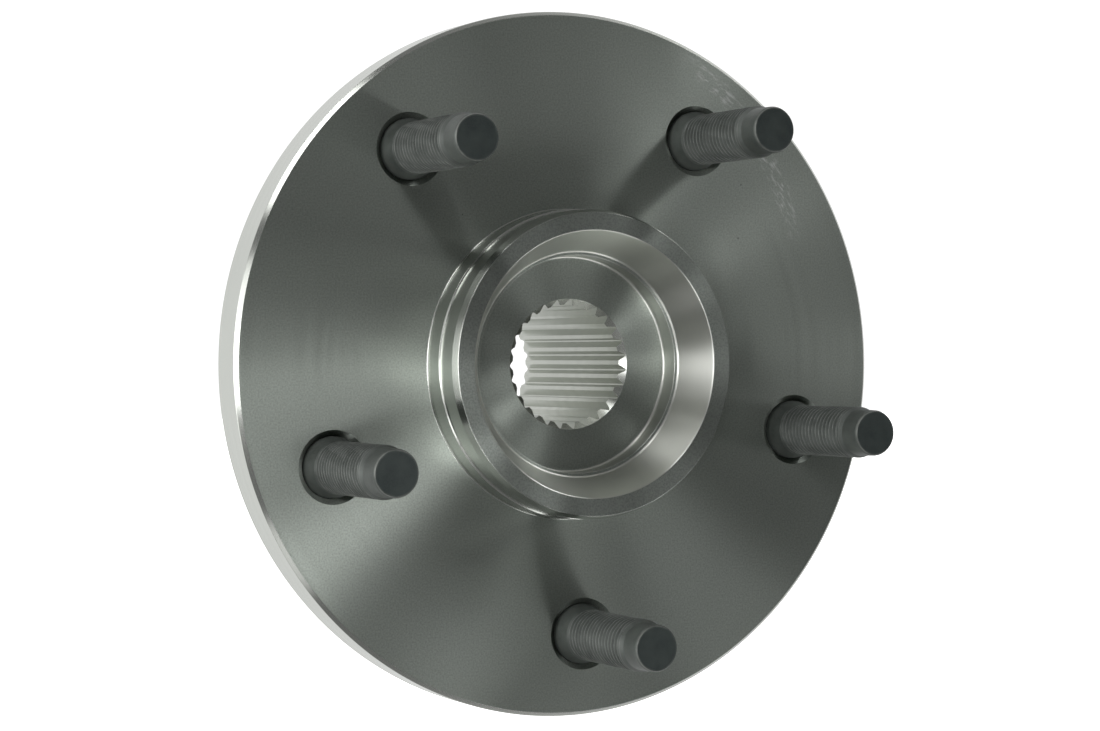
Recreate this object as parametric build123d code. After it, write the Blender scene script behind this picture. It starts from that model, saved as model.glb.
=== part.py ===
from build123d import *
import os
from math import acos, cos, degrees, radians, sin, tan

# Wheel hub bearing for a driven wheel: a flanged hub with pressed-in studs runs on two rows of
# balls in a housing that bolts to the steering knuckle.
# Millimetres. The spin axis is Y, outboard is -Y and +Z is up. The origin is on the axis, in the
# plane of the wheel mounting face.

# Wheel flange, with its edge at a set distance from the stud circle
flange_edge_distance = 19.05
flange_thickness = 12.1
flange_chamfer = 1.0

# Wheel studs, pressed in from behind the flange
stud_circle_dia = 127.0
stud_count = 5
stud_start_angle = -14.61
stud_thread_dia = 12.0
stud_thread_pitch = 1.5
stud_thread_depth = 0.81
stud_thread_flank = 30.0
stud_length = 36.4
stud_point_dia = 10.6
stud_point_length = 5.9
stud_point_chamfer = 0.3
stud_collar_dia = 14.0
stud_collar_depth = 1.5
stud_cone_length = 2.9
stud_knurl_dia = 14.26
stud_head_dia = 21.0
stud_head_thickness = 4.5
stud_head_chamfer = 0.9
stud_hole_fit = 0.02
stud_countersink_dia = 16.88
stud_countersink_depth = 1.3

# Pilot that centres the brake disc and the wheel
pilot_length = 14.5
brake_pilot_dia = 72.2
brake_pilot_length = 6.4
wheel_pilot_dia = 71.4
pilot_step = 0.2
pilot_lead = 2.0
pilot_lead_depth = 0.75
pilot_root_radius = 0.5

# Recess in the pilot, with the seat of the axle nut in the plane of the flange face
recess_mouth_dia = 61.6
recess_cone_length = 9.0
recess_cone_dia = 52.8
recess_shelf = 0.3
recess_wall_dia = 50.8
recess_fillet = 0.8
recess_edge_radius = 0.4

# Splined bore for the drive shaft
spline_teeth = 27
spline_start_angle = -5.2
spline_major_dia = 30.4
spline_minor_dia = 27.8
spline_space_mouth = 2.24
spline_space_root = 0.36
spline_outboard_chamfer = 1.43
spline_inboard_chamfer = 2.3

# Two rows of balls, back to back
ball_dia = 11.1125
ball_count = 13
pitch_dia = 58.0
row_spacing = 17.5
contact_angle = 40.0
race_conformity = 0.52
race_clearance = 0.06
outer_land_height = 2.75
inner_shoulder_height = 4.15

# Hub spindle and the separate inner ring that it holds
spindle_dia = 39.6
spindle_fit = 0.01
flange_root_radius = 4.0
nose_thickness = 2.7
nose_dia = 49.0
nose_round = 1.4
inner_ring_bore_chamfer = 1.5
inner_ring_edge_chamfer = 0.6

# Cages
cage_radial_thickness = 4.6
cage_back_thickness = 1.6
cage_claw_reach = 2.5
cage_pocket_gap = 0.2
cage_relief_dia = 1.8

# Housing
flange_gap = 2.9
housing_wall = 6.0
housing_chamfer = 1.0
seal_bore_step = 0.35
outboard_seal_space = 3.95
inboard_seal_space = 4.45
knuckle_pilot_dia = 77.8
knuckle_pilot_length = 12.0
knuckle_pilot_chamfer = 1.2
mounting_plate_thickness = 10.5
mounting_plate_root_radius = 3.0
ear_count = 3
ear_start_angle = 90.0
ear_circle_dia = 113.0
ear_radius = 11.5
ear_boss_radius = 11.0
ear_boss_height = 1.5
ear_root_radius = 46.0
knuckle_hole_dia = 10.4
knuckle_hole_chamfer = 0.9

# Seals
case_sheet = 0.7
case_recess = 0.3
case_leg_height = 4.0
seal_to_ball = 0.6
lip_gap = 0.25
lip_thickness = 0.6
slinger_sheet = 0.7
slinger_recess = 0.25
slinger_edge_gap = 0.4

# Radii
stud_circle_r = stud_circle_dia / 2
flange_r = stud_circle_r + flange_edge_distance
ball_r = ball_dia / 2
pitch_r = pitch_dia / 2
race_r = ball_dia * race_conformity
race_offset = race_r - ball_r - race_clearance
outer_centre_r = pitch_r - race_offset * cos(radians(contact_angle))
inner_centre_r = pitch_r + race_offset * cos(radians(contact_angle))
outer_root_r = outer_centre_r + race_r
inner_root_r = inner_centre_r - race_r
outer_land_r = outer_root_r - outer_land_height
shoulder_r = inner_root_r + inner_shoulder_height
seal_bore_r = outer_root_r + seal_bore_step
housing_r = seal_bore_r + housing_wall
knuckle_pilot_r = knuckle_pilot_dia / 2
spindle_r = spindle_dia / 2 - spindle_fit
inner_ring_bore_r = spindle_dia / 2
nose_r = nose_dia / 2
spline_major_r = spline_major_dia / 2
spline_minor_r = spline_minor_dia / 2
spline_chamfer_r = spline_minor_r + spline_outboard_chamfer
cage_inner_r = pitch_r - cage_radial_thickness / 2
cage_outer_r = pitch_r + cage_radial_thickness / 2

# Places along the spin axis
housing_start = flange_thickness + flange_gap
outboard_row = housing_start + outboard_seal_space + ball_r
inboard_row = outboard_row + row_spacing
middle = (outboard_row + inboard_row) / 2
housing_end = inboard_row + ball_r + inboard_seal_space
hub_end = housing_end + nose_thickness
knuckle_face = housing_end - knuckle_pilot_length
plate_start = knuckle_face - mounting_plate_thickness
race_shift = race_offset * sin(radians(contact_angle))

# Angles that the grooves cover, from the root of the groove to its shoulder
outer_sweep = degrees(acos((outer_land_r - outer_centre_r) / race_r))
inner_sweep = degrees(acos((inner_centre_r - shoulder_r) / race_r))


def arc(centre, radius, start, end):
    """Arc of an outline, given by its centre as (radius, y) and two angles in degrees."""

    def at(angle):
        return (
            centre[0] + radius * cos(radians(angle)),
            centre[1] + radius * sin(radians(angle)),
        )

    return ThreePointArc(at(start), at((start + end) / 2), at(end))


def turned(*outline):
    """Turned solid: a closed outline of (radius, y) corners and arcs, revolved about Y."""
    ends = []
    for item in outline:
        if isinstance(item, tuple):
            ends.append((Vector(*item), Vector(*item)))
        else:
            ends.append((item @ 0, item @ 1))
    edges = [item for item in outline if not isinstance(item, tuple)]
    for here, there in zip(ends, ends[1:] + ends[:1]):
        if (here[1] - there[0]).length > 1e-5:
            edges.append(Line(here[1], there[0]))
    return revolve(make_face(edges), Axis.Y)


def extruded(sketch, start, end):
    """Sketch with its x along +X and its y along +Z, extruded along Y between two planes."""
    return Pos(0, start, 0) * extrude(Plane.XZ * sketch, amount=end - start, dir=(0, 1, 0))


def around(angle, radius=0.0):
    """Place on a circle about the spin axis, with the angle from +X towards +Z."""
    return Rot(0, -angle, 0) * Pos(radius, 0, 0)


def angles(count, start=0.0):
    """Evenly spaced angles of a full circle."""
    return [start + index * 360 / count for index in range(count)]


def stud_hole():
    """Tool for one knurled stud hole with the countersink on the wheel side."""
    hole_r = stud_knurl_dia / 2 + stud_hole_fit
    countersink_r = stud_countersink_dia / 2
    slope = (countersink_r - hole_r) / stud_countersink_depth
    return turned(
        (0, -stud_countersink_depth),
        (countersink_r + slope * stud_countersink_depth, -stud_countersink_depth),
        (hole_r, stud_countersink_depth),
        (hole_r, flange_thickness + 1),
        (0, flange_thickness + 1),
    )


def spline_spaces():
    """Tool for the tooth spaces: wedges with narrow roots, through the whole hub."""
    depth = spline_major_r - spline_minor_r
    overlap = 1.0
    widening = (spline_space_mouth - spline_space_root) / (2 * depth)
    mouth = spline_space_mouth / 2 + widening * overlap
    space = make_face(
        Polyline(
            (spline_minor_r - overlap, -mouth),
            (spline_major_r, -spline_space_root / 2),
            (spline_major_r, spline_space_root / 2),
            (spline_minor_r - overlap, mouth),
            close=True,
        )
    )
    spaces = [Rot(0, 0, angle) * space for angle in angles(spline_teeth, spline_start_angle)]
    return extruded(Sketch() + spaces, -1, hub_end + 1)


def hub_flange():
    """Forged hub: wheel flange, pilot, outboard inner raceway, spindle and formed nose."""
    recess_wall_r = recess_wall_dia / 2
    recess_mouth_r = recess_mouth_dia / 2
    wheel_pilot_r = wheel_pilot_dia / 2
    brake_pilot_r = brake_pilot_dia / 2
    cone_end = -pilot_length + recess_cone_length
    race_centre = (inner_centre_r, outboard_row + race_shift)
    hub = turned(
        (spline_minor_r, spline_outboard_chamfer),
        (spline_chamfer_r, 0),
        arc((recess_wall_r - recess_fillet, -recess_fillet), recess_fillet, 90, 0),
        (recess_wall_r, cone_end + recess_shelf),
        (recess_cone_dia / 2, cone_end),
        (recess_mouth_r, -pilot_length + recess_edge_radius),
        (recess_mouth_r + recess_edge_radius, -pilot_length),
        (wheel_pilot_r - pilot_lead_depth, -pilot_length),
        (wheel_pilot_r, -pilot_length + pilot_lead),
        (wheel_pilot_r, -brake_pilot_length),
        (brake_pilot_r, -brake_pilot_length + pilot_step),
        arc((brake_pilot_r + pilot_root_radius, -pilot_root_radius), pilot_root_radius, 180, 90),
        (flange_r - flange_chamfer, 0),
        (flange_r, flange_chamfer),
        (flange_r, flange_thickness - flange_chamfer),
        (flange_r - flange_chamfer, flange_thickness),
        arc(
            (shoulder_r + flange_root_radius, flange_thickness + flange_root_radius),
            flange_root_radius,
            -90,
            -180,
        ),
        arc(race_centre, race_r, 180 + inner_sweep, 180),
        (inner_root_r, middle),
        (spindle_r, middle),
        (spindle_r, housing_end - inner_ring_bore_chamfer),
        (spindle_r + inner_ring_bore_chamfer, housing_end),
        (nose_r, housing_end),
        arc((nose_r - nose_round, hub_end - nose_round), nose_round, 0, 90),
        (spline_minor_r + spline_inboard_chamfer, hub_end),
        (spline_minor_r, hub_end - spline_inboard_chamfer),
    )
    hub -= spline_spaces()
    holes = [around(a, stud_circle_r) * stud_hole() for a in angles(stud_count, stud_start_angle)]
    return hub - holes


def thread_rings(radius, start, end):
    """Outline of a thread between two planes, drawn as rings of the thread's pitch and depth."""
    root_r = radius - stud_thread_depth
    root_half = stud_thread_pitch / 8
    mouth_half = root_half + stud_thread_depth * tan(radians(stud_thread_flank))
    count = int((end - start - mouth_half) / stud_thread_pitch)
    outline = []
    for index in range(count, 0, -1):
        groove = end - index * stud_thread_pitch
        outline += [
            (radius, groove - mouth_half),
            (root_r, groove - root_half),
            (root_r, groove + root_half),
            (radius, groove + mouth_half),
        ]
    return outline


def wheel_stud():
    """Wheel stud: head behind the flange, knurl, collar, cone, thread and dog point."""
    thread_r = stud_thread_dia / 2
    point_r = stud_point_dia / 2
    collar_r = stud_collar_dia / 2
    knurl_r = stud_knurl_dia / 2
    head_r = stud_head_dia / 2
    point_start = -stud_length + stud_point_length
    head_end = flange_thickness + stud_head_thickness
    thread_start = point_start + (thread_r - point_r)
    return turned(
        (0, -stud_length),
        (point_r - stud_point_chamfer, -stud_length),
        (point_r, -stud_length + stud_point_chamfer),
        (point_r, point_start),
        (thread_r, thread_start),
        *thread_rings(thread_r, thread_start, -stud_cone_length),
        (thread_r, -stud_cone_length),
        (collar_r, 0),
        (collar_r, stud_collar_depth),
        (knurl_r, stud_collar_depth + (knurl_r - collar_r)),
        (knurl_r, flange_thickness),
        (head_r, flange_thickness),
        (head_r, head_end - stud_head_chamfer),
        (head_r - stud_head_chamfer, head_end),
        (0, head_end),
    )


def inner_ring():
    """Inboard inner ring, pushed on the spindle and held by the formed nose."""
    race_centre = (inner_centre_r, inboard_row - race_shift)
    return turned(
        (inner_ring_bore_r, middle),
        (inner_root_r - inner_ring_edge_chamfer, middle),
        (inner_root_r, middle + inner_ring_edge_chamfer),
        arc(race_centre, race_r, 180, 180 - inner_sweep),
        (shoulder_r, housing_end - inner_ring_edge_chamfer),
        (shoulder_r - inner_ring_edge_chamfer, housing_end),
        (inner_ring_bore_r + inner_ring_bore_chamfer, housing_end),
        (inner_ring_bore_r, housing_end - inner_ring_bore_chamfer),
    )


def housing_body():
    """Turned part of the housing: both outer raceways, seal bores and the knuckle pilot."""
    outboard_centre = (outer_centre_r, outboard_row - race_shift)
    inboard_centre = (outer_centre_r, inboard_row + race_shift)
    outboard_step = housing_start + outboard_seal_space
    inboard_step = housing_end - inboard_seal_space
    root = mounting_plate_root_radius
    return turned(
        (seal_bore_r, housing_start),
        (housing_r - housing_chamfer, housing_start),
        (housing_r, housing_start + housing_chamfer),
        arc((housing_r + root, plate_start - root), root, 180, 90),
        (housing_r + root, knuckle_face),
        (knuckle_pilot_r, knuckle_face),
        (knuckle_pilot_r, housing_end - knuckle_pilot_chamfer),
        (knuckle_pilot_r - knuckle_pilot_chamfer, housing_end),
        (seal_bore_r, housing_end),
        (seal_bore_r, inboard_step),
        (outer_root_r, inboard_step - seal_bore_step),
        arc(inboard_centre, race_r, 0, -outer_sweep),
        arc(outboard_centre, race_r, outer_sweep, 0),
        (outer_root_r, outboard_step + seal_bore_step),
        (seal_bore_r, outboard_step),
    )


def knuckle_hole():
    """Tool for one tapped hole, at its tapping size, chamfered at both ends."""
    hole_r = knuckle_hole_dia / 2
    start = plate_start - ear_boss_height
    margin = 1.0
    return turned(
        (0, start - margin),
        (hole_r + knuckle_hole_chamfer + margin, start - margin),
        (hole_r, start + knuckle_hole_chamfer),
        (hole_r, knuckle_face - knuckle_hole_chamfer),
        (hole_r + knuckle_hole_chamfer + margin, knuckle_face + margin),
        (0, knuckle_face + margin),
    )


def bearing_housing():
    """Stationary outer ring with its lobed mounting plate and tapped ears."""
    ear_circle_r = ear_circle_dia / 2
    housing = housing_body()
    bore = extruded(Circle(housing_r), plate_start - 1, knuckle_face + 1)
    lobe_edges = Circle(ear_root_radius).edges() + (Pos(ear_circle_r, 0) * Circle(ear_radius)).edges()
    lobe = extruded(make_hull(lobe_edges), plate_start, knuckle_face) - bore
    boss = extruded(Circle(ear_boss_radius), plate_start - ear_boss_height, knuckle_face)
    ear_angles = angles(ear_count, ear_start_angle)
    housing += [around(angle) * lobe for angle in ear_angles]
    housing += [around(angle, ear_circle_r) * boss for angle in ear_angles]
    return housing - [around(angle, ear_circle_r) * knuckle_hole() for angle in ear_angles]


def ball_place(row, index):
    """Place of one ball of a row."""
    return around(angles(ball_count)[index], pitch_r) * Pos(0, row, 0)


def cage(row, side):
    """Snap-in crown cage: solid back ring towards side, pockets open the other way."""
    back = row + side * (ball_r + cage_pocket_gap + cage_back_thickness)
    mouth = row - side * cage_claw_reach
    ring = turned(
        (cage_inner_r, mouth),
        (cage_outer_r, mouth),
        (cage_outer_r, back),
        (cage_inner_r, back),
    )
    seam_at_mouth = Plane(origin=(0, 0, 0), x_dir=(0, -side, 0), z_dir=(1, 0, 0))
    pocket = seam_at_mouth * Sphere(ball_r + cage_pocket_gap)
    ring -= [ball_place(row, index) * pocket for index in range(ball_count)]
    relief = Rot(0, 90, 0) * Cylinder(cage_relief_dia / 2, 2 * cage_radial_thickness)
    half_step = 180 / ball_count
    reliefs = [around(a, pitch_r) * Pos(0, mouth, 0) * relief for a in angles(ball_count, half_step)]
    return ring - reliefs


def outboard_seal_case():
    """Pressed steel ring in the outboard seal bore, with its leg on the ball side."""
    start = housing_start + case_recess
    end = outboard_row - ball_r - seal_to_ball
    leg_r = seal_bore_r - case_leg_height
    return turned(
        (seal_bore_r, start),
        (seal_bore_r, end - case_sheet),
        (seal_bore_r - case_sheet, end),
        (leg_r, end),
        (leg_r, end - case_sheet),
        (seal_bore_r - case_sheet, end - case_sheet),
        (seal_bore_r - case_sheet, start),
    )


def outboard_seal_lip():
    """Rubber on the outboard case: one lip towards the flange and two towards the spindle."""
    end = outboard_row - ball_r - seal_to_ball
    leg_face = end - case_sheet
    leg_r = seal_bore_r - case_leg_height
    root_r = seal_bore_r - case_sheet - 0.6
    tip_r = shoulder_r + lip_gap
    flange_tip = flange_thickness + lip_gap
    body = leg_face - lip_thickness
    return turned(
        (root_r, leg_face),
        (root_r - 0.4, body),
        (root_r + 0.2, flange_tip),
        (root_r - lip_thickness / 2, flange_tip + 0.3),
        (root_r - 0.4 - lip_thickness * 1.4, body),
        (leg_r - lip_thickness, body),
        (tip_r + 0.1, body - 1.0),
        (tip_r, body - 0.6),
        (leg_r - 2 * lip_thickness, leg_face + 0.2),
        (tip_r, end - 0.3),
        (tip_r + 0.3, end + 0.1),
        (leg_r - lip_thickness, end),
        (leg_r, end),
        (leg_r, leg_face),
    )


def inboard_seal_case():
    """Pressed steel ring in the inboard seal bore, with its leg on the ball side."""
    start = inboard_row + ball_r + seal_to_ball
    end = housing_end - case_recess
    leg_r = seal_bore_r - case_leg_height
    return turned(
        (seal_bore_r, end),
        (seal_bore_r, start + case_sheet),
        (seal_bore_r - case_sheet, start),
        (leg_r, start),
        (leg_r, start + case_sheet),
        (seal_bore_r - case_sheet, start + case_sheet),
        (seal_bore_r - case_sheet, end),
    )


def inboard_slinger():
    """Pressed steel ring on the inner ring, closing the inboard seal from outside."""
    start = inboard_row + ball_r + seal_to_ball
    end = housing_end - inner_ring_edge_chamfer - slinger_recess
    rim_r = seal_bore_r - case_sheet - slinger_edge_gap
    return turned(
        (shoulder_r, start),
        (shoulder_r, end - slinger_sheet),
        (shoulder_r + slinger_sheet, end),
        (rim_r, end),
        (rim_r, end - slinger_sheet),
        (shoulder_r + slinger_sheet, end - slinger_sheet),
        (shoulder_r + slinger_sheet, start),
    )


def inboard_seal_lip():
    """Rubber on the inboard case: two lips on the slinger's sleeve and one on its leg."""
    start = inboard_row + ball_r + seal_to_ball
    leg_face = start + case_sheet
    leg_r = seal_bore_r - case_leg_height
    root_r = seal_bore_r - case_sheet - 0.5
    tip_r = shoulder_r + slinger_sheet + lip_gap
    slinger_face = housing_end - inner_ring_edge_chamfer - slinger_recess - slinger_sheet
    body = leg_face + lip_thickness / 2
    return turned(
        (leg_r, start),
        (leg_r, leg_face),
        (root_r, leg_face),
        (root_r, body),
        (root_r - 0.5, body),
        (root_r + 0.1, slinger_face - lip_gap),
        (root_r - 0.4, slinger_face - lip_gap),
        (root_r - 0.5 - lip_thickness, body),
        (leg_r - 0.5, body),
        (tip_r + 0.3, body + 0.8),
        (tip_r, body + 0.5),
        (leg_r - 1.2, leg_face - 0.3),
        (tip_r, start + 0.2),
        (tip_r + 0.2, start),
    )


def build_nodes():
    """Every separate piece by name, at rest."""
    nodes = {
        "hub_flange": hub_flange(),
        "inner_ring": inner_ring(),
        "bearing_housing": bearing_housing(),
        "outboard_cage": cage(outboard_row, 1),
        "inboard_cage": cage(inboard_row, -1),
        "outboard_seal_case": outboard_seal_case(),
        "outboard_seal_lip": outboard_seal_lip(),
        "inboard_seal_case": inboard_seal_case(),
        "inboard_seal_lip": inboard_seal_lip(),
        "inboard_slinger": inboard_slinger(),
    }
    for index, angle in enumerate(angles(stud_count, stud_start_angle)):
        nodes[f"wheel_stud_{index + 1}"] = around(angle, stud_circle_r) * wheel_stud()
    for index in range(ball_count):
        nodes[f"outboard_ball_{index + 1:02d}"] = ball_place(outboard_row, index) * Sphere(ball_r)
        nodes[f"inboard_ball_{index + 1:02d}"] = ball_place(inboard_row, index) * Sphere(ball_r)
    return nodes


os.makedirs("parts", exist_ok=True)
for name, shape in build_nodes().items():
    export_step(shape, f"parts/{name}.step")
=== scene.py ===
"""Looks of a wheel hub bearing: turned hub, phosphated studs, housing, balls, cages and seals.

Lengths are metres. The spin axis is Y, outboard is -Y and +Z is up. The origin lies on the axis, in
the plane of the wheel mounting face.
"""
import logging
import math
from dataclasses import dataclass, field
from enum import Enum

import bmesh
import bpy
import numpy as np
from mathutils import Matrix, Vector


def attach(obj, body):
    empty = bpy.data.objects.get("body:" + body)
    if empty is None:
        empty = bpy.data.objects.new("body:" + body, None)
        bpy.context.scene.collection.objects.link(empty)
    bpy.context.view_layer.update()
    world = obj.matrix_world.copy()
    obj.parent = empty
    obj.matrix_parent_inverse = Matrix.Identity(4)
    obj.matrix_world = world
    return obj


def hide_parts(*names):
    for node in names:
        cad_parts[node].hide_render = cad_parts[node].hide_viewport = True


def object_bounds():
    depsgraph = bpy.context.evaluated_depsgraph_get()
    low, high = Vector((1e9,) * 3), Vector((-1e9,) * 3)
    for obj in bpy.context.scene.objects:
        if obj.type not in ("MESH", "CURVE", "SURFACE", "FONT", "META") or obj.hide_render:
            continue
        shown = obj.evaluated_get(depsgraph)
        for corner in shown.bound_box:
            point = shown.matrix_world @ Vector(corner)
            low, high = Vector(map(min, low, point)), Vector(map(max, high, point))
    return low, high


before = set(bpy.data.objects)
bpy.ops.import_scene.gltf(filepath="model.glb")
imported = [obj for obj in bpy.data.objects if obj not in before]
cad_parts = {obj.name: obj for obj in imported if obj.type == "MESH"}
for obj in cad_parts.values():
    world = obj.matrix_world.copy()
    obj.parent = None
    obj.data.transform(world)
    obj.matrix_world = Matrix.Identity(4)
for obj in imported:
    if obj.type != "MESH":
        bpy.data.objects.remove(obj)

CAD_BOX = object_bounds()
MM = 0.001
TAU = 2 * math.pi
LOG = logging.getLogger("wheel_hub_bearing")
MERGE_DISTANCE = 2e-6
"""Points closer than this become one."""

WHITE = (1.0, 1.0, 1.0, 1.0)

Array = np.ndarray
Socket = bpy.types.NodeSocket
Color = tuple[float, float, float]
Range = tuple[float, float]
Spot = tuple[float, float]


class Finish(Enum):
    """Finishes of the object, by the name that their material gets."""

    FACED = "faced_steel"
    # Faced steel in a darker colour for the pilot's end: painted shade, not a different steel.
    END_FACED_PAINTED_SHADE = "end_faced_steel_painted_shade"
    TURNED = "fine_turned_steel"
    BORED = "bored_steel"
    BROACHED = "broached_steel"
    PHOSPHATE = "black_phosphate"
    STUD_END = "sheared_stud_end"
    FORGED = "forged_skin"
    GROUND = "ground_steel"
    LAPPED = "lapped_steel"
    SHEET = "pressed_sheet"
    RUBBER = "seal_rubber"
    POLYMER = "cage_polymer"


# Surfaces


def store_edges(mesh: bpy.types.Mesh) -> None:
    """Store how much each point stands out, as the attribute "edge".

    It is the mean, over the point's edges, of the sine of their drop below the plane across its normal.

    Args:
        mesh: Mesh that gets the attribute.
    """
    count = len(mesh.vertices)
    ends = np.empty(2 * len(mesh.edges), dtype=np.int32)
    place, normal = np.empty(3 * count, dtype=np.float32), np.empty(3 * count, dtype=np.float32)
    mesh.edges.foreach_get("vertices", ends)
    mesh.vertices.foreach_get("co", place)
    mesh.vertex_normals.foreach_get("vector", normal)
    ends, place, normal = ends.reshape(-1, 2), place.reshape(-1, 3), normal.reshape(-1, 3)
    own, other = np.concatenate([ends, ends[:, ::-1]]).T
    step = place[other] - place[own]
    drop = -(step * normal[own]).sum(axis=1) / np.linalg.norm(step, axis=1)
    mean = np.bincount(own, drop, count) / np.bincount(own, minlength=count)
    mesh.attributes.new("edge", "FLOAT", "POINT").data.foreach_set("value", mean.astype(np.float32))


@dataclass
class MeshDraft:
    """Grids and strips of faces, gathered until they become the mesh of one piece."""

    points: list[Array] = field(default_factory=list)
    faces: list[Array] = field(default_factory=list)
    finishes: list[Array] = field(default_factory=list)
    slots: list[Finish] = field(default_factory=list)
    count: int = 0

    def add(self, points: Array, faces: Array, finish: Finish) -> None:
        """Add faces over points.

        Args:
            points: Points, shape (n, 3).
            faces: Corner numbers within points, shape (m, 3) or (m, 4).
            finish: Finish of these faces.
        """
        if finish not in self.slots:
            self.slots.append(finish)
        self.points.append(points)
        self.faces.append(faces + self.count)
        self.finishes.append(np.full(len(faces), self.slots.index(finish)))
        self.count += len(points)

    def grid(self, points: Array, finish: Finish, wrap: bool = True) -> None:
        """Add a grid of points as quads between neighbours.

        Args:
            points: Grid, shape (rows, columns, 3).
            finish: Finish of the quads.
            wrap: Whether the last column joins the first.
        """
        rows, columns = points.shape[:2]
        number = np.arange(rows * columns).reshape(rows, columns)
        ahead = np.roll(number, -1, axis=1)
        last = columns if wrap else columns - 1
        quads = np.stack([number[:-1], ahead[:-1], ahead[1:], number[1:]], axis=-1)
        self.add(points.reshape(-1, 3), quads[:, :last].reshape(-1, 4), finish)

    def piece(self, name: str, body: str, node: str, crease: float = 32.0) -> bpy.types.Object:
        """Make the piece: merged points, outward normals, smooth up to a crease angle.

        Args:
            name: Name of the piece.
            body: CAD body that it rides on.
            node: CAD node that it stands for.
            crease: Edges sharper than this many degrees stay sharp.

        Returns:
            The new object, at the origin.
        """
        mesh = bpy.data.meshes.new(name)
        faces = [row for block in self.faces for row in block.tolist()]
        mesh.from_pydata(np.concatenate(self.points).tolist(), [], faces)
        mesh.polygons.foreach_set("material_index", np.concatenate(self.finishes))
        shell = bmesh.new()
        shell.from_mesh(mesh)
        bmesh.ops.remove_doubles(shell, verts=shell.verts, dist=MERGE_DISTANCE)
        bmesh.ops.recalc_face_normals(shell, faces=shell.faces)
        shell.to_mesh(mesh)
        shell.free()
        mesh.shade_smooth()
        mesh.set_sharp_from_angle(angle=math.radians(crease))
        store_edges(mesh)
        for finish in self.slots:
            mesh.materials.append(material(finish))
        made = bpy.data.objects.new(name, mesh)
        bpy.context.scene.collection.objects.link(made)
        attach(made, body)
        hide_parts(node)
        LOG.info("%s: %d faces on %s", name, len(mesh.polygons), body)
        return made


def circled(centre: Array | Spot, radius: float, angle: Array) -> Array:
    """Points in a plane: the centre plus the radius times the angle's cosine and sine.

    Args:
        centre: The centre.
        radius: The radius; with a negative one the points lie across the centre.
        angle: Angles, shape (n,).

    Returns:
        Points, shape (n, 2).
    """
    return np.asarray(centre) + radius * np.stack([np.cos(angle), np.sin(angle)], axis=-1)


def outline(*corners: tuple[float, float, float], steps: int = 4, support: float = 0.25 * MM) -> Array:
    """Outline through corners, each rounded by an arc that touches both of its straight runs.

    An arc's points are its centre plus the fillet radius in evenly turned directions. Each straight
    run gets a point close to either end, so that smooth shading stays flat along it.

    Args:
        corners: Corners as (radius, y, fillet).
        steps: Arc steps at each rounded corner.
        support: Distance of the extra points from the ends of a run.

    Returns:
        Points as (radius, y), shape (n, 2).
    """
    hardly_bent = math.radians(89.5)
    spots = np.array([corner[:2] for corner in corners])
    pieces = [spots[:1]]
    for index in range(1, len(corners) - 1):
        here, fillet = spots[index], corners[index][2]
        back = spots[index - 1] - here
        on = spots[index + 1] - here
        back = back / np.linalg.norm(back)
        on = on / np.linalg.norm(on)
        half = math.acos(float(np.clip(back @ on, -1, 1))) / 2
        if fillet <= 0 or half > hardly_bent:
            pieces.append(here[None])
            continue
        middle = back + on
        centre = here + middle / np.linalg.norm(middle) * fillet / math.sin(half)
        first = here + back * fillet / math.tan(half) - centre
        last = here + on * fillet / math.tan(half) - centre
        start = math.atan2(first[1], first[0])
        turn = (math.atan2(last[1], last[0]) - start + math.pi) % TAU - math.pi
        angle = start + turn * np.linspace(0, 1, steps + 1)
        pieces.append(circled(centre, fillet, angle))
    pieces.append(spots[-1:])
    rows = [pieces[0]]
    for before, after in zip(pieces, pieces[1:]):
        run = after[0] - before[-1]
        length = np.linalg.norm(run)
        if length > 3 * support:
            rows.append(before[-1:] + run * support / length)
            rows.append(after[:1] - run * support / length)
        rows.append(after)
    return np.concatenate(rows)


def around(radius: Array, y: Array | float, angles: Array, centre: Spot = (0.0, 0.0)) -> Array:
    """Points about an axis: the radius times the angle's cosine in X and sine in Z, y unchanged.

    Args:
        radius: Radii, broadcast against the angles.
        y: Places along the axis, broadcast likewise.
        angles: Angles about the axis, from +X towards +Z.
        centre: The axis's place in X and Z.

    Returns:
        Points, of the broadcast shape and 3.
    """
    x = centre[0] + radius * np.cos(angles)
    z = centre[1] + radius * np.sin(angles)
    return np.stack([x, y + 0 * x, z], axis=-1)


def turned(profile: Array, angles: Array, centre: Spot = (0.0, 0.0)) -> Array:
    """Surface of revolution: the profile's points at each angle about the axis.

    Args:
        profile: Points as (radius, y), shape (n, 2).
        angles: Angles about the axis, shape (m,).
        centre: The axis's place in X and Z.

    Returns:
        Grid, shape (n, m, 3).
    """
    return around(profile[:, :1], profile[:, 1:], angles, centre)


def even_angles(count: int, start: float = 0.0) -> Array:
    """Evenly spaced angles of a full turn, from start."""
    return start + np.arange(count) * TAU / count


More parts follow.
